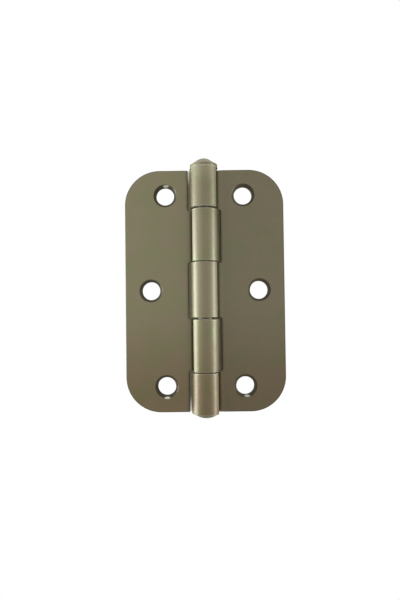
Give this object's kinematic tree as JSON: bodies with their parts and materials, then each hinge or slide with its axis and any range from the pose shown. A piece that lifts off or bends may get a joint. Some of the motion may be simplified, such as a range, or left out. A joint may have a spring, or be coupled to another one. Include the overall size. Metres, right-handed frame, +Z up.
{
  "type": "round-corner butt hinge",
  "caption": "Round-corner butt hinge with curled knuckles on a fixed domed pin and countersunk screw holes in each leaf.",
  "frame": {"origin": "on the pin's axis, halfway between the crown of its head and its spread lower end", "axes": "+Z up along the pin to its domed head; +X across to the leaf with three knuckles; the countersunk front, where the barrel stands proud, faces -Y"},
  "size_m": [0.05, 0.009, 0.0806],
  "materials": {
    "leaf_plate": "satin olive-brown plating on pressed steel, with soft mottling",
    "pin_plate": "the same satin olive-brown plating on a headed steel pin"
  },
  "bodies": {
    "frame_side": {"frame_leaf": "leaf_plate", "hinge_pin": "pin_plate"},
    "door_side": {"door_leaf": "leaf_plate"}
  },
  "joints": [
    {"name": "leaf_swing", "type": "hinge", "parent": "frame_side", "child": "door_side", "pos_m": [0, 0, 0], "axis": [0, 0, 1], "range_deg": [-110, 180]}
  ]
}
